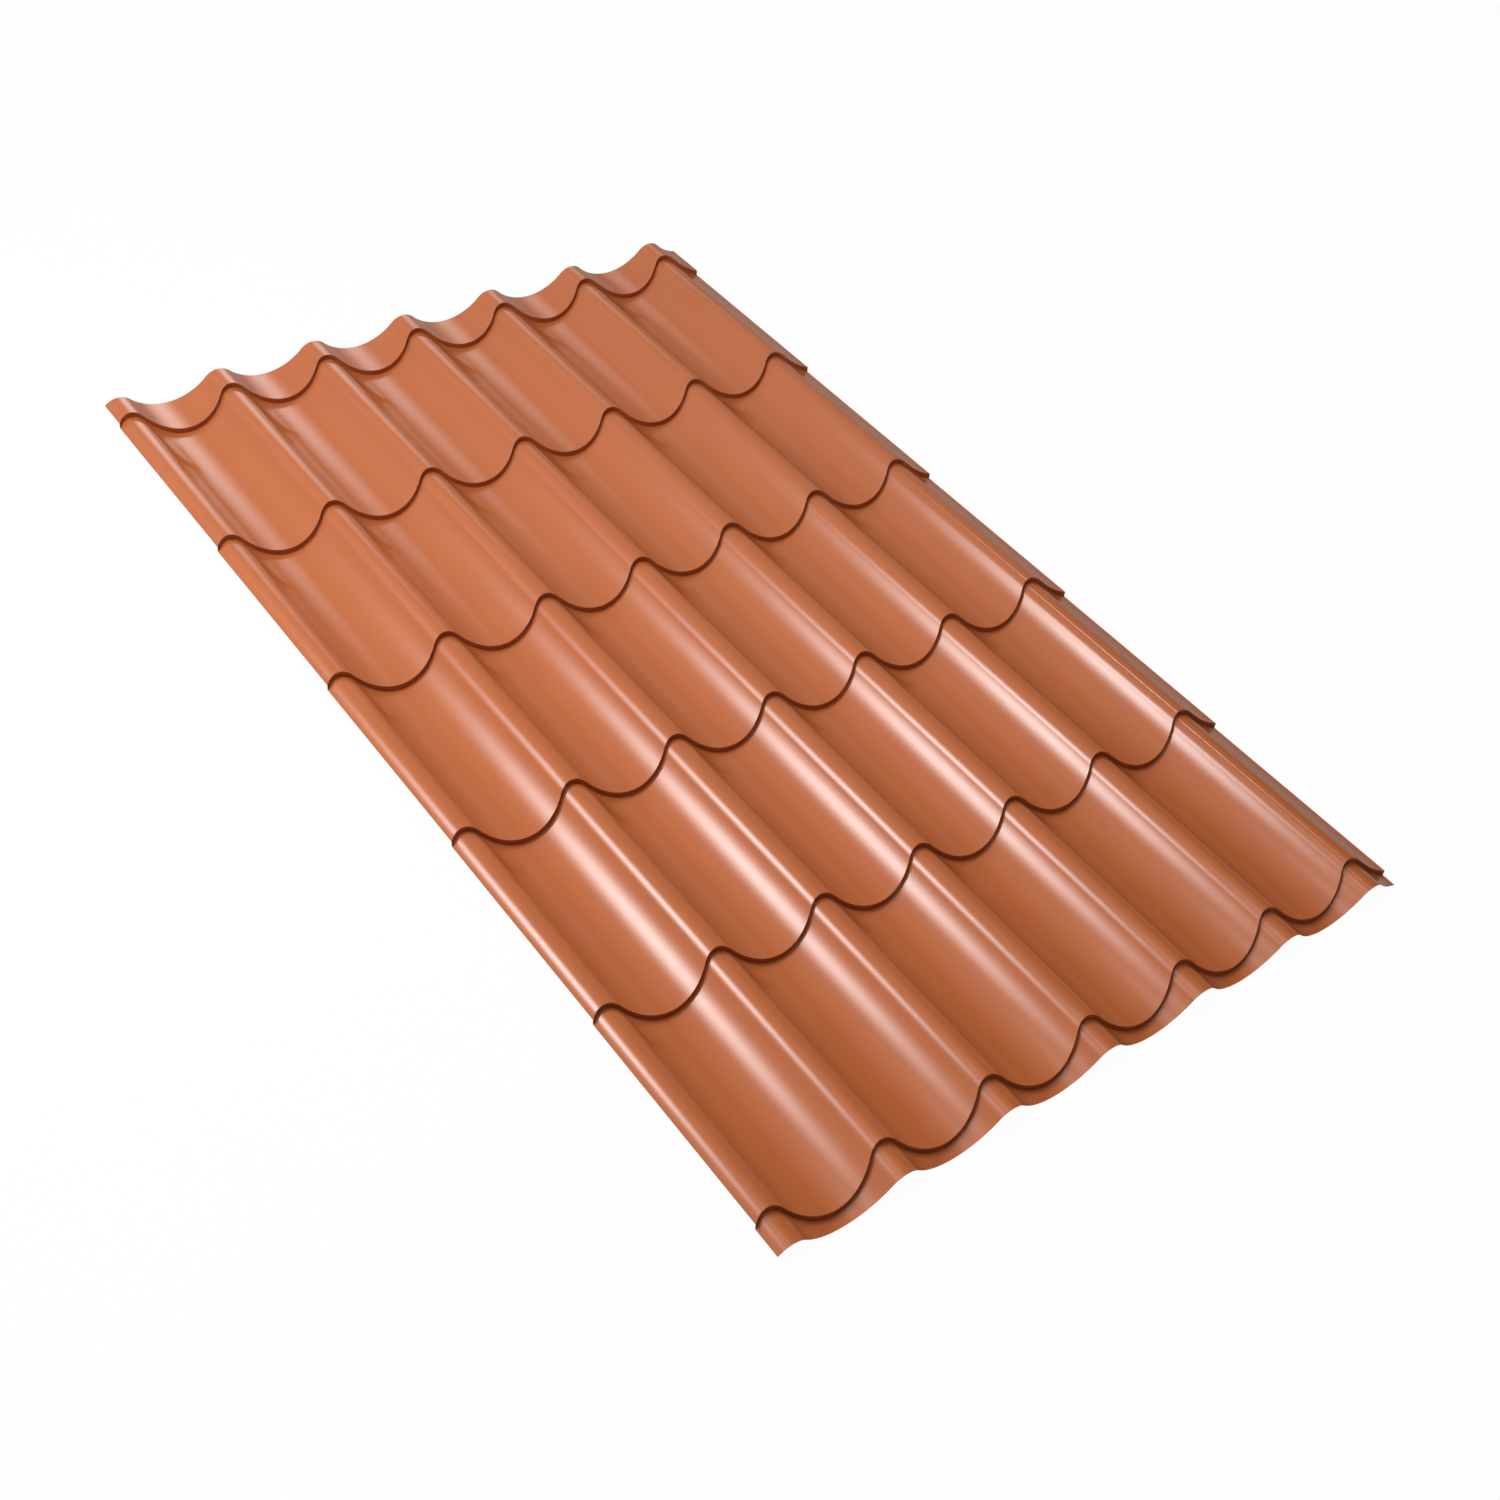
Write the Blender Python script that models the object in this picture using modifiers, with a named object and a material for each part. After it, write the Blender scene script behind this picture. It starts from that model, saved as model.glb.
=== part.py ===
"""Tile effect metal roofing sheet: one pressed steel sheet with waves across it and tile steps along it.

+X runs across the sheet from its left edge, +Y up the roof slope and +Z out of the roof. The origin is the
middle of the bounding box's bottom. Sizes are in metres.

The sheet is made as a mill makes it. A wave line of crest and trough arcs is rolled, the tile steps are pressed
along it, the four edges are sheared straight, and the skin gets its gauge.
"""

import math

import bmesh
import bpy
from mathutils import Vector

# The wave across the sheet.
COVER_WIDTH = 1.100
WAVES = 6
WAVE_DEPTH = 0.0378
CREST_RADIUS = 0.03125
LEFT_LAP = 0.0219
RIGHT_LAP = 0.0649

# The tile steps along the sheet.
TILE_LENGTH = 0.360
TILES = 5
STEP_HEIGHT = 0.0095
RISER_LEAN = math.radians(3.0)
NOSE_RADIUS = 0.0014
FOOT_RADIUS = 0.0025
FRONT_RAKE = 0.922
TOP_LAP = 0.0489
EAVE_LAP = 0.0547

SHEET_GAUGE = 0.0005

# How finely the round stretches are divided. Every facet touches its arc, and an even count leaves a level facet
# on each crest and trough.
CREST_FACETS = 6
TROUGH_FACETS = 10
NOSE_FACETS = 1
FOOT_FACETS = 1

TERRACOTTA = (0.49, 0.145, 0.062, 1.0)
COATING_ROUGHNESS = 0.32
COATING_METALLIC = 0.0

PITCH = COVER_WIDTH / WAVES
# The arcs of a crest and a trough touch each other, so the line where they meet slopes twice as steeply in angle
# as the chord from the top of the crest to the bottom of the trough.
FLANK_ANGLE = 2 * math.atan(2 * WAVE_DEPTH / PITCH)
TROUGH_RADIUS = PITCH / (2 * math.sin(FLANK_ANGLE)) - CREST_RADIUS
RISER_RUN = STEP_HEIGHT * math.tan(RISER_LEAN)
TILE_SLOPE = STEP_HEIGHT / (TILE_LENGTH - RISER_RUN)
FRONT_REACH = FRONT_RAKE * WAVE_DEPTH


def empty_scene():
    """Remove every object, mesh, material and collection that the file opened with."""
    for obj in list(bpy.data.objects):
        bpy.data.objects.remove(obj, do_unlink=True)
    for blocks in (bpy.data.meshes, bpy.data.materials, bpy.data.collections):
        for block in list(blocks):
            blocks.remove(block)


def arc_corners(middle, level, radius, facets, side):
    """Corners (x, height) of the facets that touch one arc of the wave.

    The arc's top or bottom is at (middle, level), and side is 1 for a crest and -1 for a trough. The facets past
    the first and the last corner lie along the lines where the arc touches its neighbours.
    """
    reach = radius / math.cos(FLANK_ANGLE / facets)
    points = []
    for facet in range(facets):
        angle = FLANK_ANGLE * ((2 * facet + 1) / facets - 1)
        points.append((middle + reach * math.sin(angle), level + side * (reach * math.cos(angle) - radius)))
    return points


def wave_line():
    """Points (x, height) of the wave from a crest left of the first one to a trough right of the last one.

    Heights are measured from the crests, which are at 0, and x from the first crest.
    """
    points = []
    for wave in range(-1, WAVES + 1):
        crest_x = wave * PITCH
        points += arc_corners(crest_x, 0, CREST_RADIUS, CREST_FACETS, 1)
        points += arc_corners(crest_x + PITCH / 2, -WAVE_DEPTH, TROUGH_RADIUS, TROUGH_FACETS, -1)
    return points


def round_corner(before, corner, after, radius, facets):
    """Points of an arc that rounds the corner of a line through three (y, z) points."""
    back = (Vector(before) - Vector(corner)).normalized()
    ahead = (Vector(after) - Vector(corner)).normalized()
    half = back.angle(ahead) / 2
    centre = Vector(corner) + (back + ahead).normalized() * radius / math.sin(half)
    start = Vector(corner) + back * radius / math.tan(half) - centre
    end = Vector(corner) + ahead * radius / math.tan(half) - centre
    sweep = start.angle_signed(end)
    turned = []
    for i in range(facets + 1):
        angle = -sweep * i / facets
        cosine, sine = math.cos(angle), math.sin(angle)
        turned.append(centre + Vector((cosine * start.x - sine * start.y, sine * start.x + cosine * start.y)))
    return turned


def step_line():
    """Points (y, height) along a crest, from below the eave edge to above the top edge.

    Each tile rises a little down the slope from its head, where the height is 0, to its nose at the step height.
    The first nose is at y = 0. The line runs far enough past both ends for the straight cuts.
    """
    below = EAVE_LAP + FRONT_REACH
    above = TOP_LAP + FRONT_REACH
    points = [Vector((-RISER_RUN - below, below * TILE_SLOPE))]
    for tile in range(TILES + 1):
        nose = Vector((tile * TILE_LENGTH, STEP_HEIGHT))
        foot = nose - Vector((RISER_RUN, STEP_HEIGHT))
        lower = foot + Vector((-TILE_LENGTH, TILE_LENGTH * TILE_SLOPE))
        upper = nose + Vector((TILE_LENGTH, -TILE_LENGTH * TILE_SLOPE))
        points += round_corner(lower, foot, nose, FOOT_RADIUS, FOOT_FACETS)
        points += round_corner(foot, nose, upper, NOSE_RADIUS, NOSE_FACETS)
    points.append(Vector((TILES * TILE_LENGTH + above, STEP_HEIGHT - above * TILE_SLOPE)))
    return points


def roll_wave(bm, start):
    """The raked wave line as edges, at the first point of the step line.

    A tile's front reaches further down the slope the lower it is on the wave, so the line lies in a slanted plane.
    """
    verts = [bm.verts.new((x, start.x + FRONT_RAKE * height, start.y + height)) for x, height in wave_line()]
    return [bm.edges.new(pair) for pair in zip(verts, verts[1:])]


def press_steps(bm, edges, stations):
    """Extrude the wave line from one station to the next."""
    for here, ahead in zip(stations, stations[1:]):
        made = bmesh.ops.extrude_edge_only(bm, edges=edges)["geom"]
        verts = [item for item in made if isinstance(item, bmesh.types.BMVert)]
        move = ahead - here
        bmesh.ops.translate(bm, verts=verts, vec=Vector((0, move.x, move.y)))
        fresh = set(verts)
        edges = [item for item in made if isinstance(item, bmesh.types.BMEdge) and fresh.issuperset(item.verts)]


def shear_edge(bm, point, outward):
    """Cut the skin straight at a plane and drop what lies outside it."""
    geometry = bm.verts[:] + bm.edges[:] + bm.faces[:]
    bmesh.ops.bisect_plane(bm, geom=geometry, dist=1e-7, plane_co=point, plane_no=outward, clear_outer=True)


def face_up(bm):
    """Turn every face so that its normal points out of the roof."""
    bm.normal_update()
    bmesh.ops.reverse_faces(bm, faces=[face for face in bm.faces if face.normal.z < 0])


def sheet_skin():
    """The outer face of the sheet as an open mesh."""
    left, right = -LEFT_LAP, COVER_WIDTH + RIGHT_LAP
    eave, top = -EAVE_LAP, TILES * TILE_LENGTH + TOP_LAP
    bm = bmesh.new()
    stations = step_line()
    press_steps(bm, roll_wave(bm, stations[0]), stations)
    shear_edge(bm, (left, 0, 0), (-1, 0, 0))
    shear_edge(bm, (right, 0, 0), (1, 0, 0))
    shear_edge(bm, (0, eave, 0), (0, -1, 0))
    shear_edge(bm, (0, top, 0), (0, 1, 0))
    face_up(bm)
    mesh = bpy.data.meshes.new("tile_roofing_sheet")
    bm.to_mesh(mesh)
    bm.free()
    return mesh


def coating():
    """Terracotta polyester coating of the steel."""
    material = bpy.data.materials.new("terracotta_coating")
    material.use_nodes = True
    shader = material.node_tree.nodes["Principled BSDF"]
    shader.inputs["Base Color"].default_value = TERRACOTTA
    shader.inputs["Roughness"].default_value = COATING_ROUGHNESS
    shader.inputs["Metallic"].default_value = COATING_METALLIC
    return material


def give_gauge(sheet):
    """Thicken the skin downwards, with the same gauge on every facet."""
    solidify = sheet.modifiers.new("gauge", "SOLIDIFY")
    solidify.thickness = SHEET_GAUGE
    solidify.offset = -1
    solidify.use_even_offset = True


def place_origin(sheet):
    """Move the sheet so that the origin is the middle of its bounding box's bottom."""
    bpy.context.view_layer.update()
    solid = sheet.evaluated_get(bpy.context.evaluated_depsgraph_get())
    corners = [solid.matrix_world @ Vector(corner) for corner in solid.bound_box]
    low = Vector(min(corner[axis] for corner in corners) for axis in range(3))
    high = Vector(max(corner[axis] for corner in corners) for axis in range(3))
    sheet.location -= Vector(((low.x + high.x) / 2, (low.y + high.y) / 2, low.z))


def main():
    empty_scene()
    collection = bpy.data.collections.new("tile_effect_roofing_sheet")
    bpy.context.scene.collection.children.link(collection)
    mesh = sheet_skin()
    mesh.materials.append(coating())
    mesh.shade_smooth()
    mesh.set_sharp_from_angle(angle=math.radians(30))
    sheet = bpy.data.objects.new("tile_roofing_sheet", mesh)
    collection.objects.link(sheet)
    give_gauge(sheet)
    place_origin(sheet)


if __name__ == "__main__":
    main()
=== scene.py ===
"""Tile effect metal roofing sheet: the dressed sheet, its studio and its camera.

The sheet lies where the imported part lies: +X runs across it, +Y up the roof slope and +Z out of the roof. Sizes are
in metres. The outer face is one surface of two parameters, a wave line carried along a step line. The back face is
the same surface one gauge below it, and four rims close the two into a solid skin.
"""

import logging
import math
from dataclasses import dataclass, field
from enum import IntEnum

import bpy
import numpy as np
from mathutils import Matrix, Vector


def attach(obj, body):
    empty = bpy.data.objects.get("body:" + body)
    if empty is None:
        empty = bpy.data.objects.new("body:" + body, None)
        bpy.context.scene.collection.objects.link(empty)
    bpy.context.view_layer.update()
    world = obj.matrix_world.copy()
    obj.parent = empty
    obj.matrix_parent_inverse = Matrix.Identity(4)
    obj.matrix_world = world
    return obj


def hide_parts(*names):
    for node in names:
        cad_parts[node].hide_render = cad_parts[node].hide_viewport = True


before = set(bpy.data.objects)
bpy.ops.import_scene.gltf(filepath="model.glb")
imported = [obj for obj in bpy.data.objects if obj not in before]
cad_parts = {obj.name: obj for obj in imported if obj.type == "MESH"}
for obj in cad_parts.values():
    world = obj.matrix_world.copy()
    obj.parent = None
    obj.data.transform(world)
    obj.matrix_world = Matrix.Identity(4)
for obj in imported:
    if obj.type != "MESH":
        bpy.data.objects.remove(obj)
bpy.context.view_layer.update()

SHEET_NODE = "tile_roofing_sheet"
WHITE = (1.0, 1.0, 1.0, 1.0)
# Keeps the root of a crest arc above 0 where x is off the arc.
SMALLEST_SQUARE = 1e-12
LOG = logging.getLogger("roofing_sheet")


class Face(IntEnum):
    """The sheet's groups of faces, as indices of its materials."""

    OUTER = 0
    BACK = 1
    EDGE = 2


@dataclass(frozen=True)
class WaveLine:
    """The wave across the sheet: crest arcs and trough arcs that touch each other.

    Heights are measured from the crests, which are at 0, and x from the first crest. The wave is 0.07 mm shallower
    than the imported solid's, so that the crisper bends of the steps stay inside the solid's box.
    """

    cover_width: float = 1.100
    waves: int = 6
    depth: float = 0.03773
    crest_radius: float = 0.03125
    left_lap: float = 0.0219
    right_lap: float = 0.0649
    bead_offset: float = 0.0060
    bead_width: float = 0.0022
    bead_height: float = 0.00055
    crest_cells: int = 16
    trough_cells: int = 24
    bead_cells: int = 8

    @property
    def pitch(self) -> float:
        """Distance from one crest to the next."""
        return self.cover_width / self.waves

    @property
    def flank_angle(self) -> float:
        """Steepest slope of the wave, where a crest arc touches a trough arc: twice the chord's angle."""
        return 2 * math.atan(2 * self.depth / self.pitch)

    @property
    def trough_radius(self) -> float:
        """Radius of a trough arc: what the crest arc leaves of half a pitch."""
        return self.pitch / (2 * math.sin(self.flank_angle)) - self.crest_radius

    @property
    def bead_middle(self) -> float:
        """Place of the thin bead on the last crest, just left of its top."""
        return self.cover_width - self.bead_offset

    def columns(self) -> np.ndarray:
        """Place the grid's columns across the sheet, evenly by the angle turned on each arc.

        A column on an arc is at the arc's middle plus its radius times the sine of the angle. The bead has its own
        columns, and the sheet's two cut edges get a column each.

        Returns:
            The columns' x in rising order.
        """
        crest_turn = np.linspace(-self.flank_angle, self.flank_angle, self.crest_cells + 1)[:-1]
        trough_turn = np.linspace(-self.flank_angle, self.flank_angle, self.trough_cells + 1)[:-1]
        crests = np.arange(-1, self.waves + 1)[:, None] * self.pitch
        x = np.concatenate(
            (
                (crests + self.crest_radius * np.sin(crest_turn)).ravel(),
                (crests + self.pitch / 2 + self.trough_radius * np.sin(trough_turn)).ravel(),
            )
        )
        left, right = -self.left_lap, self.cover_width + self.right_lap
        off_bead = np.abs(x - self.bead_middle) > self.bead_width / 2
        inside = x[(x > left) & (x < right) & off_bead]
        bead = self.bead_middle + self.bead_width * np.linspace(-0.5, 0.5, self.bead_cells + 1)
        return np.sort(np.concatenate(([left], inside, bead, [right])))

    def height(self, x: np.ndarray) -> tuple[np.ndarray, np.ndarray]:
        """Height and rise of the wave at x.

        With u the distance from the nearest crest, a crest arc is the root of its radius squared less u squared,
        less the radius. A trough arc is the same turned over, with v the distance from the trough's middle. The
        rise is the distance over that root. The bead adds one whole wave of a cosine, from one low point to the
        next.

        Args:
            x: Places across the sheet.

        Returns:
            The height and its change with x, each of the shape of x.
        """
        u = (x + self.pitch / 2) % self.pitch - self.pitch / 2
        v = u - np.copysign(self.pitch / 2, u)
        on_crest = np.abs(u) <= self.crest_radius * math.sin(self.flank_angle)
        crest_root = np.sqrt(np.maximum(self.crest_radius**2 - u**2, SMALLEST_SQUARE))
        trough_root = np.sqrt(self.trough_radius**2 - v**2)
        trough_height = self.trough_radius - trough_root - self.depth
        height = np.where(on_crest, crest_root - self.crest_radius, trough_height)
        rise = np.where(on_crest, -u / crest_root, v / trough_root)
        turn = np.clip((x - self.bead_middle) / self.bead_width, -0.5, 0.5) * 2 * math.pi
        bead = self.bead_height / 2 * (1 + np.cos(turn))
        bead_rise = -self.bead_height * math.pi / self.bead_width * np.sin(turn)
        return height + bead, rise + bead_rise


@dataclass(frozen=True)
class StepLine:
    """The tile steps along a crest: a gentle slope down to each tile's head, and a leaning riser at its front.

    The height is 0 at a tile's head and the step height at its nose. The first nose is at y = 0. The bends are
    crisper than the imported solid's, as the photograph's dark step lines are.
    """

    tile_length: float = 0.360
    tiles: int = 5
    step_height: float = 0.0095
    riser_lean: float = math.radians(3.0)
    nose_radius: float = 0.0006
    foot_radius: float = 0.0006
    eave_lap: float = 0.0547
    top_lap: float = 0.0489
    nose_cells: int = 6
    foot_cells: int = 8
    slope_cells: int = 6

    @property
    def riser_run(self) -> float:
        """How far the riser leans down the slope."""
        return self.step_height * math.tan(self.riser_lean)

    @property
    def fall(self) -> float:
        """Angle at which a tile falls from its nose to its head."""
        return math.atan(self.step_height / (self.tile_length - self.riser_run))

    def one_step(self) -> tuple[np.ndarray, np.ndarray, np.ndarray]:
        """One step going up the roof: the foot's arc, the straight riser and the nose's arc.

        Both arcs turn by the same angle, from the tile's fall to the riser's slope and back, and start one radius
        times the tangent of half that angle away from their corner. On an arc, a point is the centre plus the
        radius times the line's direction turned by a right angle.

        Returns:
            The points' y and height from the nose's corner line, and the direction of the line there in radians.
        """
        steep = math.pi / 2 - self.riser_lean
        reach = math.tan((steep + self.fall) / 2)
        foot_turn = np.linspace(-self.fall, steep, self.foot_cells + 1)
        nose_turn = np.linspace(steep, -self.fall, self.nose_cells + 1)
        foot_start = np.array((-self.riser_run, 0)) - self.foot_radius * reach * np.array(
            (math.cos(self.fall), -math.sin(self.fall))
        )
        nose_start = np.array((0, self.step_height)) - self.nose_radius * reach * np.array(
            (math.cos(steep), math.sin(steep))
        )
        foot_centre = foot_start + self.foot_radius * np.array((math.sin(self.fall), math.cos(self.fall)))
        nose_centre = nose_start + self.nose_radius * np.array((math.sin(steep), -math.cos(steep)))
        foot = foot_centre[:, None] + self.foot_radius * np.stack((np.sin(foot_turn), -np.cos(foot_turn)))
        nose = nose_centre[:, None] + self.nose_radius * np.stack((-np.sin(nose_turn), np.cos(nose_turn)))
        y, height = np.concatenate((foot, nose), axis=1)
        return y, height, np.concatenate((foot_turn, nose_turn))

    @staticmethod
    def in_turn(steps: np.ndarray, gaps: np.ndarray) -> np.ndarray:
        """Lay the steps' numbers and the gaps' numbers end to end, a step and a gap in turn.

        Args:
            steps: One row of numbers for each step.
            gaps: One row of numbers for each gap between two steps.

        Returns:
            All the numbers in one line, which ends with the last step's.
        """
        return np.concatenate((np.concatenate((steps[:-1], gaps), axis=1).ravel(), steps[-1]))

    def rows(self, shift: np.ndarray) -> tuple[np.ndarray, np.ndarray, np.ndarray]:
        """Place the grid's rows along every column, from the eave edge to the top edge.

        The steps' rows are the same for all columns. Between two steps, and out to the cut edges, rows are shared
        out evenly along the tile's straight fall. A column that is shifted down the slope meets the cut edges
        that much further up its own line, because the edges are cut straight after pressing.

        Args:
            shift: How far each column is moved along y.

        Returns:
            The rows' y and height before the shift, and the line's direction, with rows down and columns across.
        """
        step_y, step_height, step_turn = self.one_step()
        noses = np.arange(self.tiles + 1) * self.tile_length
        y = noses[:, None] + step_y
        height = np.broadcast_to(step_height, y.shape)
        turn = np.broadcast_to(step_turn, y.shape)
        share = np.linspace(0, 1, self.slope_cells + 1)[1:-1]
        gap_y = y[:-1, -1:] + share * (y[1:, :1] - y[:-1, -1:])
        gap_height = height[:-1, -1:] + share * (height[1:, :1] - height[:-1, -1:])
        middle_y = self.in_turn(y, gap_y)
        middle_height = self.in_turn(height, gap_height)
        middle_turn = self.in_turn(turn, np.full(gap_y.shape, -self.fall))
        columns = len(shift)
        eave_y = -self.eave_lap - shift
        top_y = self.tiles * self.tile_length + self.top_lap - shift
        ends = np.linspace(0, 1, self.slope_cells + 1)
        low_y = eave_y + ends[:-1, None] * (middle_y[0] - eave_y)
        high_y = middle_y[-1] + ends[1:, None] * (top_y - middle_y[-1])
        low_height = middle_height[0] + (middle_y[0] - low_y) * math.tan(self.fall)
        high_height = middle_height[-1] - (high_y - middle_y[-1]) * math.tan(self.fall)
        all_y = np.concatenate((low_y, np.tile(middle_y[:, None], columns), high_y))
        all_height = np.concatenate((low_height, np.tile(middle_height[:, None], columns), high_height))
        straight = np.full(low_y.shape, -self.fall)
        all_turn = np.concatenate((straight, np.tile(middle_turn[:, None], columns), straight))
        return all_y, all_height, all_turn


class NodeSketch:
    """A node tree under construction, with short calls for adding and joining nodes."""

    def __init__(self, tree: bpy.types.NodeTree) -> None:
        """Empty the tree.

        Args:
            tree: Node tree of a material or a world.
        """
        self.tree = tree
        tree.nodes.clear()

    def add(self, kind: str, settings: dict | None = None, **inputs: object) -> bpy.types.Node:
        """Add a node.

        Args:
            kind: Blender's name of the node type.
            settings: Values of the node's own properties.
            inputs: Value of a socket, or the output that it is joined to. An underscore stands for a space.

        Returns:
            The new node.
        """
        node = self.tree.nodes.new(kind)
        for name, value in (settings or {}).items():
            setattr(node, name, value)
        for name, value in inputs.items():
            self.put(node, name.replace("_", " "), value)
        return node

    def put(self, node: bpy.types.Node, socket: str | int, value: object) -> None:
        """Give a socket a value, or join it to an output.

        Args:
            node: Node that has the socket.
            socket: Name or index of the input.
            value: A plain value, or an output socket.
        """
        if isinstance(value, bpy.types.NodeSocket):
            self.tree.links.new(value, node.inputs[socket])
        else:
            node.inputs[socket].default_value = value

    def sum(self, kind: str, first: object, second: object) -> bpy.types.NodeSocket:
        """Join two numbers by a sum such as ADD, MULTIPLY or MAXIMUM.

        Args:
            kind: Blender's name of the operation.
            first: A number or an output.
            second: A number or an output.

        Returns:
            The result's output.
        """
        node = self.tree.nodes.new("ShaderNodeMath")
        node.operation = kind
        self.put(node, 0, first)
        self.put(node, 1, second)
        return node.outputs[0]

    def noise(self, point: bpy.types.NodeSocket, scale: float, detail: float = 2.0) -> bpy.types.NodeSocket:
        """Soft noise from 0 to 1.

        Args:
            point: Coordinates in metres.
            scale: Grains for each metre.
            detail: Octaves of finer grain.

        Returns:
            The noise's output.
        """
        return self.add("ShaderNodeTexNoise", Vector=point, Scale=scale, Detail=detail).outputs["Fac"]

    def swing(self, noise: bpy.types.NodeSocket, middle: float, span: float) -> bpy.types.NodeSocket:
        """A number that swings about its middle: the noise times the span, plus the middle less half the span.

        Args:
            noise: Noise from 0 to 1.
            middle: The number at a noise of one half.
            span: Difference between the number's ends.

        Returns:
            The number's output.
        """
        return self.sum("ADD", self.sum("MULTIPLY", noise, span), middle - span / 2)

    def clouded(
        self, noise: bpy.types.NodeSocket, colour: tuple[float, float, float], depth: float
    ) -> bpy.types.NodeSocket:
        """A colour that the noise makes a little darker and lighter.

        Args:
            noise: Noise from 0 to 1.
            colour: Red, green and blue.
            depth: Share by which the colour moves each way.

        Returns:
            The colour's output.
        """
        mix = self.add("ShaderNodeMix", {"data_type": "RGBA"})
        ends = [tuple(channel * (1 + side * depth) for channel in colour) + (1.0,) for side in (-1, 1)]
        colour_sockets = [socket for socket in mix.inputs if socket.type == "RGBA"]
        for socket, end in zip(colour_sockets, ends):
            socket.default_value = end
        self.tree.links.new(noise, mix.inputs["Factor"])
        return next(socket for socket in mix.outputs if socket.type == "RGBA")

    def finish(self, shader: bpy.types.Node) -> None:
        """Join a shader to the material's surface.

        Args:
            shader: The last shader node.
        """
        self.put(self.add("ShaderNodeOutputMaterial"), "Surface", shader.outputs[0])


def start_material(name: str) -> tuple[bpy.types.Material, NodeSketch, bpy.types.NodeSocket]:
    """Start a material with an empty node tree.

    Args:
        name: Name of the finish.

    Returns:
        The material, the sketch of its nodes and the object coordinates in metres.
    """
    material = bpy.data.materials.new(name)
    material.use_nodes = True
    sketch = NodeSketch(material.node_tree)
    return material, sketch, sketch.add("ShaderNodeTexCoord").outputs["Object"]


@dataclass(frozen=True)
class CoilCoating:
    """Satin terracotta polyester coating, baked onto the steel before it is formed.

    It has a faint cloudiness in colour and gloss, a fine orange peel, and a long low ripple left by the rolls.
    """

    name: str = "satin_terracotta_coating"
    colour: tuple[float, float, float] = (0.495, 0.136, 0.0425)
    cloud_depth: float = 0.03
    roughness: float = 0.15
    roughness_swing: float = 0.03
    clouds_per_metre: float = 9.0
    gloss_clouds_per_metre: float = 27.0
    peel_per_metre: float = 650.0
    peel_depth: float = 0.0000008
    ripple_per_metre: float = 14.0
    ripple_depth: float = 0.00001

    def material(self) -> bpy.types.Material:
        """Build the coating's material.

        Returns:
            A material that reads object coordinates only.
        """
        material, sketch, point = start_material(self.name)
        tint = sketch.clouded(sketch.noise(point, self.clouds_per_metre), self.colour, self.cloud_depth)
        gloss = sketch.noise(point, self.gloss_clouds_per_metre)
        ripple = sketch.add(
            "ShaderNodeBump",
            Height=sketch.noise(point, self.ripple_per_metre, 1.0),
            Distance=self.ripple_depth,
            Strength=1.0,
        )
        peel = sketch.add(
            "ShaderNodeBump",
            Height=sketch.noise(point, self.peel_per_metre, 1.0),
            Distance=self.peel_depth,
            Strength=1.0,
            Normal=ripple.outputs[0],
        )
        shader = sketch.add(
            "ShaderNodeBsdfPrincipled",
            Base_Color=tint,
            Roughness=sketch.swing(gloss, self.roughness, self.roughness_swing),
            Normal=peel.outputs[0],
        )
        sketch.finish(shader)
        return material


@dataclass(frozen=True)
class BackingCoat:
    """Thin light grey backing coat on the underside, a little uneven and duller than the outer coating."""

    name: str = "grey_backing_coat"
    colour: tuple[float, float, float] = (0.46, 0.45, 0.42)
    cloud_depth: float = 0.08
    clouds_per_metre: float = 12.0
    roughness: float = 0.5
    roughness_swing: float = 0.1
    grain_per_metre: float = 900.0
    grain_depth: float = 0.000003

    def material(self) -> bpy.types.Material:
        """Build the backing coat's material.

        Returns:
            A material that reads object coordinates only.
        """
        material, sketch, point = start_material(self.name)
        cloud = sketch.noise(point, self.clouds_per_metre)
        grain = sketch.add(
            "ShaderNodeBump",
            Height=sketch.noise(point, self.grain_per_metre, 1.0),
            Distance=self.grain_depth,
            Strength=1.0,
        )
        shader = sketch.add(
            "ShaderNodeBsdfPrincipled",
            Base_Color=sketch.clouded(cloud, self.colour, self.cloud_depth),
            Roughness=sketch.swing(cloud, self.roughness, self.roughness_swing),
            Normal=grain.outputs[0],
        )
        sketch.finish(shader)
        return material


@dataclass(frozen=True)
class ShearedSteel:
    """Bare steel and zinc on the cut edges, with the fine drag lines of the shear."""

    name: str = "sheared_steel"
    colour: tuple[float, float, float] = (0.52, 0.52, 0.50)
    cloud_depth: float = 0.1
    roughness: float = 0.42
    roughness_swing: float = 0.2
    drag_per_metre: float = 1800.0

    def material(self) -> bpy.types.Material:
        """Build the cut edge's material.

        Returns:
            A material that reads object coordinates only.
        """
        material, sketch, point = start_material(self.name)
        drag = sketch.noise(point, self.drag_per_metre)
        shader = sketch.add(
            "ShaderNodeBsdfPrincipled",
            Metallic=1.0,
            Base_Color=sketch.clouded(drag, self.colour, self.cloud_depth),
            Roughness=sketch.swing(drag, self.roughness, self.roughness_swing),
        )
        sketch.finish(shader)
        return material


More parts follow.
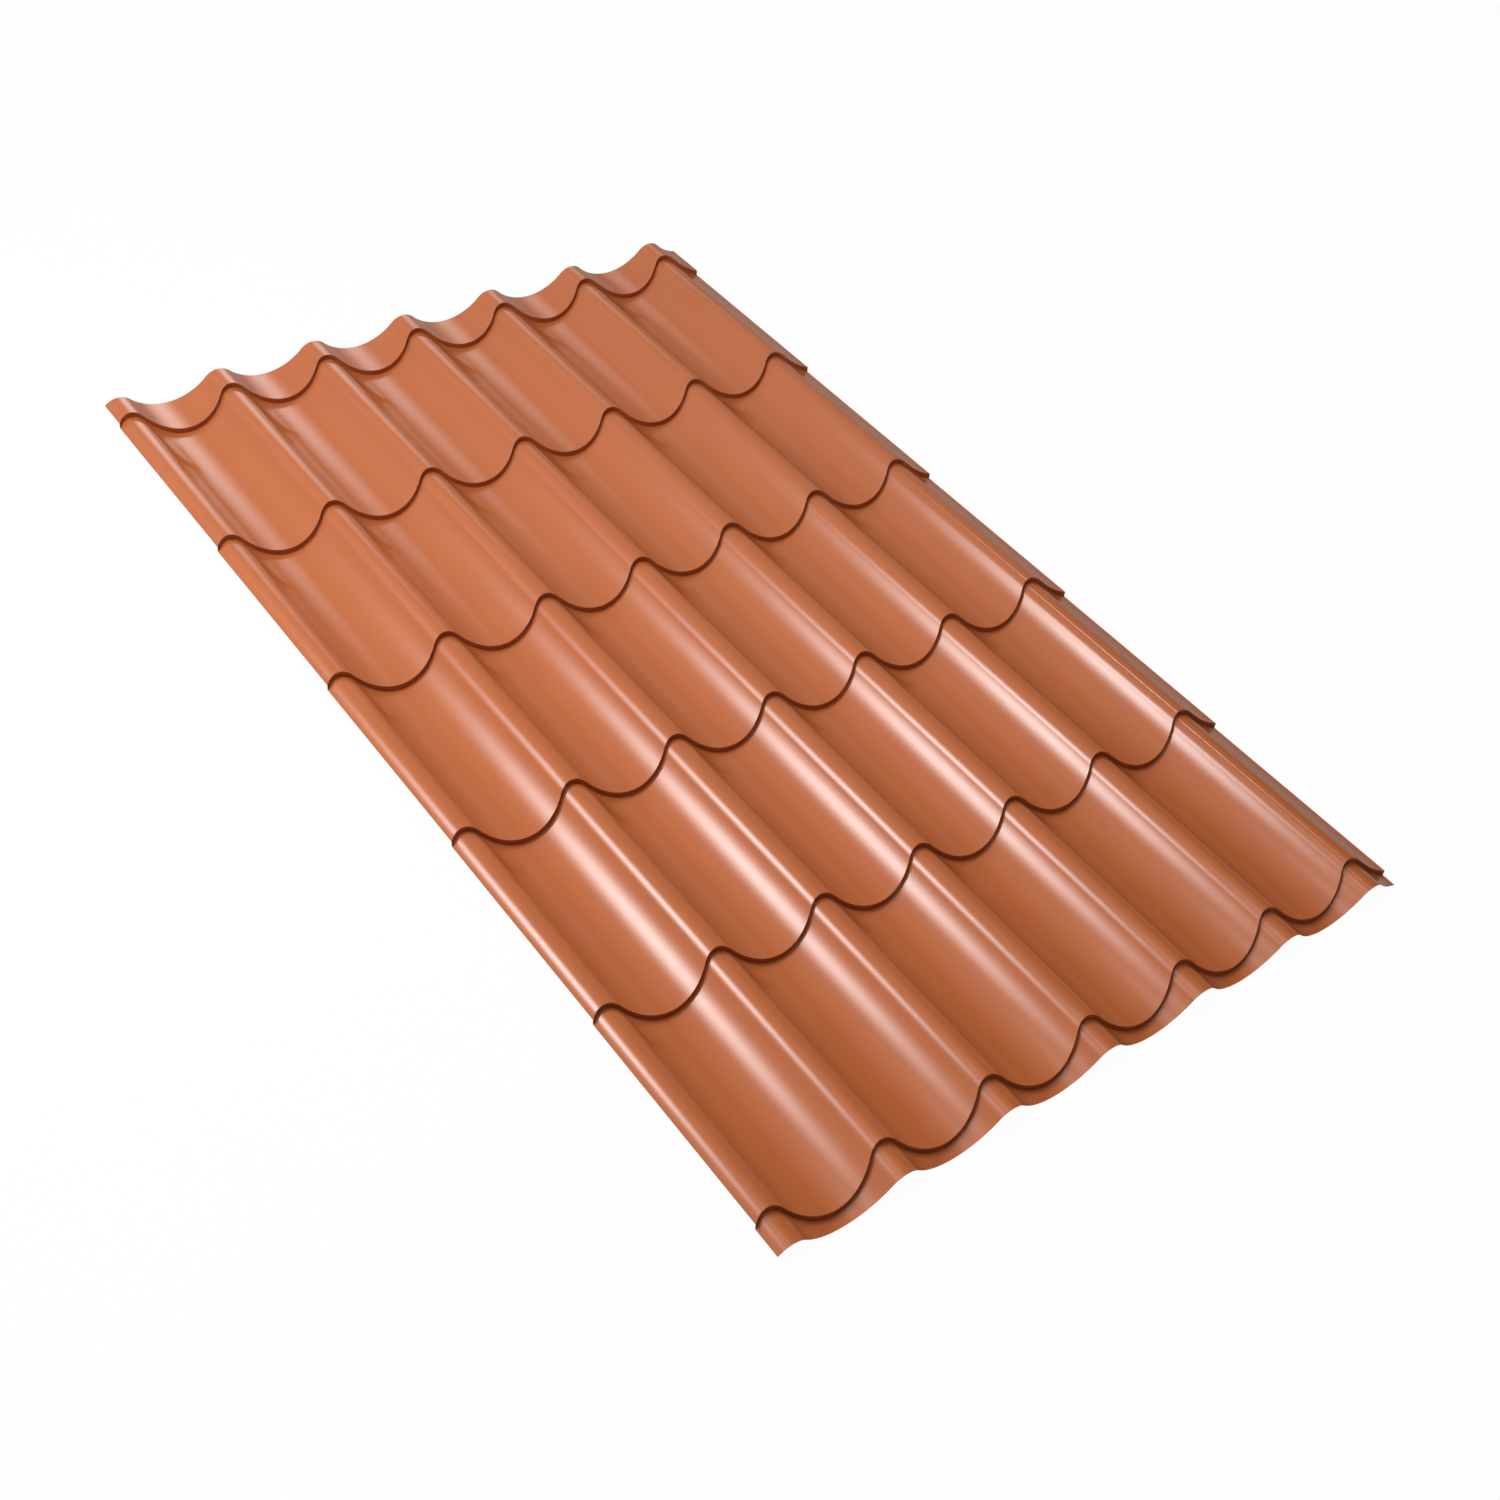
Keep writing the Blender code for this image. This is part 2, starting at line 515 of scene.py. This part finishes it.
@dataclass
class RoofingSheet:
    """The pressed sheet: its outer face, back face and four cut edges."""

    wave: WaveLine = field(default_factory=WaveLine)
    steps: StepLine = field(default_factory=StepLine)
    front_rake: float = 0.922
    gauge: float = 0.0005
    coating: CoilCoating = field(default_factory=CoilCoating)
    backing: BackingCoat = field(default_factory=BackingCoat)
    steel: ShearedSteel = field(default_factory=ShearedSteel)

    def skin(self) -> tuple[np.ndarray, np.ndarray]:
        """Work out the outer face and the back face as grids of points.

        A point of the outer face is the wave line's point plus the step line's point, with y lowered by the rake
        times the depth below the crest, so that a tile's front reaches further down the slope in the troughs.
        The normal is the cross product of the two lines' directions. The back face is the outer face less the
        normal times the gauge. Along the four cut edges it is drawn out along the surface until it ends right
        below the outer face's edge, so that the cuts are upright.

        Returns:
            The outer grid and the back grid in one array, with rows up the slope, columns across and three
            coordinates, and the outer face's normals.
        """
        x = self.wave.columns()
        height, rise = self.wave.height(x)
        shift = self.front_rake * height
        y, lift, turn = self.steps.rows(shift)
        outer = np.stack((np.broadcast_to(x, y.shape), y + shift, lift + height), axis=-1)
        across = np.stack((np.ones_like(rise), self.front_rake * rise, rise), axis=-1)
        along = np.stack((np.zeros_like(turn), np.cos(turn), np.sin(turn)), axis=-1)
        normal = np.cross(np.broadcast_to(across, along.shape), along)
        normal /= np.linalg.norm(normal, axis=-1, keepdims=True)
        back = outer - self.gauge * normal
        for side in (0, -1):
            back[:, side] += across[side] * (outer[:, side, :1] - back[:, side, :1])
        for end in (0, -1):
            back[end] += along[end] * (outer[end, :, 1:2] - back[end, :, 1:2]) / along[end, :, 1:2]
        both = np.stack((outer, back))
        low, high = both.min((0, 1, 2)), both.max((0, 1, 2))
        floor = np.array((*(low[:2] + high[:2]) / 2, low[2]))
        return both - floor, normal

    def quads(self, rows: int, columns: int) -> tuple[np.ndarray, np.ndarray]:
        """Number the corners of every face.

        The outer face's points come first and the back face's after them, row by row. The back face is the outer
        one turned over. Each rim joins the two faces along one edge of the grid.

        Args:
            rows: Rows of the grid.
            columns: Columns of the grid.

        Returns:
            Four corner numbers for each face, and each face's material index.
        """
        number = np.arange(rows * columns).reshape(rows, columns)
        below = number + rows * columns
        outer = np.stack((number[:-1, :-1], number[:-1, 1:], number[1:, 1:], number[1:, :-1]), axis=-1)
        back = outer[..., ::-1] + rows * columns
        loop = np.concatenate((number[0, :-1], number[:-1, -1], number[-1, :0:-1], number[:0:-1, 0]))
        ahead = np.roll(loop, -1)
        rim = np.stack((loop, loop + below[0, 0], ahead + below[0, 0], ahead), axis=-1)
        parts = {Face.OUTER: outer.reshape(-1, 4), Face.BACK: back.reshape(-1, 4), Face.EDGE: rim}
        corners = np.concatenate(list(parts.values()))
        groups = np.concatenate([np.full(len(part), int(face)) for face, part in parts.items()])
        return corners, groups

    def corner_normals(
        self, points: np.ndarray, normal: np.ndarray, corners: np.ndarray, groups: np.ndarray
    ) -> np.ndarray:
        """Give each corner of each face its normal.

        The outer face has the surface's own normals and the back face the opposite ones, so that a long flat
        stretch stays flat right up to a bend. A rim's corners have the rim's own normal, the cross product of the
        face's two diagonals.

        Args:
            points: All points of the mesh.
            normal: The outer face's grid of normals.
            corners: Corner numbers of each face.
            groups: Material index of each face.

        Returns:
            One unit normal for each corner, face by face.
        """
        smooth = np.concatenate((normal.reshape(-1, 3), -normal.reshape(-1, 3)))[corners]
        first = points[corners[:, 2]] - points[corners[:, 0]]
        second = points[corners[:, 3]] - points[corners[:, 1]]
        flat = np.cross(first, second)
        flat /= np.linalg.norm(flat, axis=1, keepdims=True)
        on_rim = (groups == Face.EDGE)[:, None, None]
        return np.where(on_rim, flat[:, None, :], smooth).reshape(-1, 3)

    def build(self) -> bpy.types.Object:
        """Build the sheet and hand it to the frame in place of its plain solid.

        Returns:
            The finished piece.
        """
        skin, normal = self.skin()
        corners, groups = self.quads(*normal.shape[:2])
        points = skin.reshape(-1, 3)
        mesh = bpy.data.meshes.new("pressed_roofing_sheet")
        mesh.vertices.add(len(points))
        mesh.vertices.foreach_set("co", points.ravel())
        mesh.loops.add(corners.size)
        mesh.loops.foreach_set("vertex_index", corners.ravel())
        mesh.polygons.add(len(corners))
        mesh.polygons.foreach_set("loop_start", np.arange(len(corners)) * corners.shape[1])
        mesh.polygons.foreach_set("material_index", groups)
        mesh.update(calc_edges=True)
        mesh.shade_smooth()
        mesh.normals_split_custom_set(self.corner_normals(points, normal, corners, groups))
        for finish in (self.coating, self.backing, self.steel):
            mesh.materials.append(finish.material())
        piece = bpy.data.objects.new("pressed_roofing_sheet", mesh)
        bpy.context.scene.collection.objects.link(piece)
        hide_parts(SHEET_NODE)
        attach(piece, "root")
        return piece


@dataclass(frozen=True)
class SoftLamp:
    """A soft panel lamp that faces a point of the sheet and fades from its middle to its rim.

    Its brightness is e to the power of minus half the sum of two squares: the distance from the middle across the
    panel over one spread, and up the panel over the other.
    """

    name: str
    place: tuple[float, float, float]
    aim: tuple[float, float, float]
    size: tuple[float, float]
    spread: tuple[float, float]
    brightness: float

    def fade(self, sketch: NodeSketch, turned: Matrix) -> bpy.types.NodeSocket:
        """The panel's brightness at a point of it, as a share of its middle's.

        Args:
            sketch: Node tree of the lamp.
            turned: The panel's turn, whose first two columns point across and up the panel.

        Returns:
            The share's output.
        """
        offset = sketch.add("ShaderNodeVectorMath", {"operation": "SUBTRACT"})
        sketch.put(offset, 0, sketch.add("ShaderNodeNewGeometry").outputs["Position"])
        sketch.put(offset, 1, self.place)
        squares = []
        for axis, spread in zip((turned.col[0], turned.col[1]), self.spread):
            part = sketch.add("ShaderNodeVectorMath", {"operation": "DOT_PRODUCT"})
            sketch.put(part, 0, offset.outputs["Vector"])
            sketch.put(part, 1, tuple(axis / spread))
            squares.append(sketch.sum("MULTIPLY", part.outputs["Value"], part.outputs["Value"]))
        return sketch.sum("POWER", math.exp(-0.5), sketch.sum("ADD", *squares))

    def build(self) -> bpy.types.Object:
        """Set the lamp up, unseen by the camera. Its power is its middle's brightness times its area times pi.

        Returns:
            The lamp's object.
        """
        lamp = bpy.data.lights.new(self.name, "AREA")
        lamp.shape = "RECTANGLE"
        lamp.size, lamp.size_y = self.size
        lamp.energy = self.brightness * lamp.size * lamp.size_y * math.pi
        turn = (Vector(self.aim) - Vector(self.place)).to_track_quat("-Z", "Y")
        lamp.use_nodes = True
        sketch = NodeSketch(lamp.node_tree)
        share = self.fade(sketch, turn.to_matrix())
        glow = sketch.add("ShaderNodeEmission", Color=WHITE, Strength=share)
        sketch.put(sketch.add("ShaderNodeOutputLight"), "Surface", glow.outputs[0])
        panel = bpy.data.objects.new(self.name, lamp)
        panel.location = self.place
        panel.rotation_euler = turn.to_euler()
        panel.visible_camera = False
        bpy.context.scene.collection.objects.link(panel)
        return panel


@dataclass(frozen=True)
class WhiteRoom:
    """The bright surroundings and the pale floor.

    The ceiling is brightest high up behind the left edge and fades towards the front and the right. Its strength
    is the dot product of the direction and that bright side, times the gain, less the loss, and never below 0. It
    is dimmed in front, evenly with the direction's y, down to nothing at the dark end, as the risers are dark.
    The camera sees the room and the floor as plain white. Mirrored and transmitted rays see them at a share of
    that white, which was measured on the sheet's steep right-hand flanks.
    """

    bright_side: tuple[float, float, float] = (-0.45, 0.30, 0.84)
    gain: float = 1.40
    loss: float = 0.48
    front_dark: float = -0.55
    front_full: float = 0.05
    mirrored_share: float = 0.34
    wall_full: float = 0.10
    wall_end: float = 0.30
    floor_size: float = 40.0
    floor_colour: tuple[float, float, float] = (0.90, 0.90, 0.90)
    floor_glow: float = 0.97

    def mirrored(self, sketch: NodeSketch, path: bpy.types.Node) -> bpy.types.NodeSocket:
        """Tell mirrored and transmitted rays from all others.

        Args:
            sketch: Node tree that asks.
            path: Its light path node.

        Returns:
            An output that is 1 for mirrored and transmitted rays.
        """
        return sketch.sum("MAXIMUM", path.outputs["Is Glossy Ray"], path.outputs["Is Transmission Ray"])

    def build_surroundings(self) -> None:
        """Fill the world with the ceiling's soft light, over a low wall that only mirrored rays see."""
        world = bpy.data.worlds.new("white_room")
        world.use_nodes = True
        sketch = NodeSketch(world.node_tree)
        direction = sketch.add("ShaderNodeTexCoord").outputs["Generated"]
        dot = sketch.add("ShaderNodeVectorMath", {"operation": "DOT_PRODUCT"})
        sketch.put(dot, 0, direction)
        sketch.put(dot, 1, self.bright_side)
        raw = sketch.sum("SUBTRACT", sketch.sum("MULTIPLY", dot.outputs["Value"], self.gain), self.loss)
        parts = sketch.add("ShaderNodeSeparateXYZ", Vector=direction).outputs
        front = sketch.add(
            "ShaderNodeMapRange",
            Value=parts["Y"],
            From_Min=self.front_dark,
            From_Max=self.front_full,
        )
        ceiling = sketch.sum("MULTIPLY", sketch.sum("MAXIMUM", raw, 0.0), front.outputs["Result"])
        wall = sketch.add(
            "ShaderNodeMapRange",
            Value=parts["Z"],
            From_Min=self.wall_end,
            From_Max=self.wall_full,
            To_Max=self.mirrored_share,
        )
        path = sketch.add("ShaderNodeLightPath")
        low = sketch.sum("MULTIPLY", self.mirrored(sketch, path), wall.outputs["Result"])
        strength = sketch.sum("MAXIMUM", sketch.sum("MAXIMUM", ceiling, low), path.outputs["Is Camera Ray"])
        glow = sketch.add("ShaderNodeBackground", Color=WHITE, Strength=strength)
        output = sketch.add("ShaderNodeOutputWorld")
        sketch.put(output, "Surface", glow.outputs[0])
        bpy.context.scene.world = world

    def build_floor(self) -> bpy.types.Object:
        """Lay the pale floor, which glows white for the camera and takes only a trace of the sheet's shadow.

        Returns:
            The floor's object.
        """
        half = self.floor_size / 2
        mesh = bpy.data.meshes.new("floor")
        mesh.from_pydata(
            [(-half, -half, 0), (half, -half, 0), (half, half, 0), (-half, half, 0)], [], [(0, 1, 2, 3)]
        )
        material = bpy.data.materials.new("pale_floor")
        material.use_nodes = True
        sketch = NodeSketch(material.node_tree)
        path = sketch.add("ShaderNodeLightPath")
        camera, mirrored = path.outputs["Is Camera Ray"], self.mirrored(sketch, path)
        share = sketch.sum("MULTIPLY", sketch.sum("MAXIMUM", camera, mirrored), self.floor_glow)
        strength = sketch.sum("MAXIMUM", camera, self.mirrored_share)
        matt = sketch.add("ShaderNodeBsdfDiffuse", Color=self.floor_colour + (1.0,))
        glow = sketch.add("ShaderNodeEmission", Color=WHITE, Strength=strength)
        mix = sketch.add("ShaderNodeMixShader")
        sketch.put(mix, 0, share)
        sketch.put(mix, 1, matt.outputs[0])
        sketch.put(mix, 2, glow.outputs[0])
        sketch.finish(mix)
        mesh.materials.append(material)
        floor = bpy.data.objects.new("floor", mesh)
        bpy.context.scene.collection.objects.link(floor)
        return floor


@dataclass(frozen=True)
class PhotoCamera:
    """The camera at the photograph's viewing angle, from above the eave end and the left edge.

    The frame is square. The focal length in pixels of a frame of 1500 pixels was measured on the photograph.
    """

    place: tuple[float, float, float] = (-1.5662, -1.7607, 2.1708)
    aim: tuple[float, float, float] = (-0.1050, -0.2411, 0.0201)
    roll: float = math.radians(10.03)
    frame_pixels: float = 1500.0
    focal_pixels: float = 1983.5
    sensor_mm: float = 36.0

    def build(self) -> bpy.types.Object:
        """Set the camera up.

        The level right-hand direction is the viewing direction crossed with the vertical. The camera is then
        turned about the viewing direction by the roll.

        Returns:
            The camera's object.
        """
        lens = bpy.data.cameras.new("photo_camera")
        lens.sensor_width = self.sensor_mm
        lens.lens = self.focal_pixels / self.frame_pixels * self.sensor_mm
        ahead = (Vector(self.aim) - Vector(self.place)).normalized()
        level = ahead.cross(Vector((0, 0, 1))).normalized()
        upright = level.cross(ahead)
        right = math.cos(self.roll) * level + math.sin(self.roll) * upright
        turned = Matrix((right, right.cross(ahead), -ahead)).transposed()
        camera = bpy.data.objects.new("photo_camera", lens)
        camera.matrix_world = Matrix.Translation(self.place) @ turned.to_4x4()
        bpy.context.scene.collection.objects.link(camera)
        bpy.context.scene.camera = camera
        return camera


LAMPS = (
    SoftLamp(
        name="key_softbox",
        place=(-1.435, 1.016, 2.273),
        aim=(-0.374, -0.821, 0.152),
        size=(2.40, 2.80),
        spread=(0.393, 0.473),
        brightness=15.5,
    ),
    SoftLamp(
        name="side_softbox",
        place=(4.30, 3.60, 2.60),
        aim=(0.0, 0.0, 0.0),
        size=(4.40, 3.00),
        spread=(1.30, 1.30),
        brightness=0.42,
    ),
    SoftLamp(
        name="top_softbox",
        place=(-0.10, -0.42, 3.20),
        aim=(-0.10, -0.40, 0.0),
        size=(2.00, 2.00),
        spread=(0.46, 0.46),
        brightness=3.4,
    ),
    SoftLamp(
        name="back_softbox",
        place=(2.99, 7.04, 2.34),
        aim=(0.0, 0.0, 0.0),
        size=(5.00, 5.60),
        spread=(1.02, 1.45),
        brightness=4.6,
    ),
)


def main() -> None:
    """Build the sheet, then the room, the lamps and the camera around it."""
    logging.basicConfig(level=logging.INFO, format="%(name)s: %(message)s")
    bpy.context.scene.view_settings.view_transform = "Standard"
    sheet = RoofingSheet().build()
    LOG.info("%s: %d faces", sheet.name, len(sheet.data.polygons))
    room = WhiteRoom()
    room.build_surroundings()
    LOG.info("%s is the floor", room.build_floor().name)
    for lamp in LAMPS:
        LOG.info("%s is lit", lamp.build().name)
    LOG.info("%s looks at the sheet", PhotoCamera().build().name)


if __name__ == "__main__":
    main()
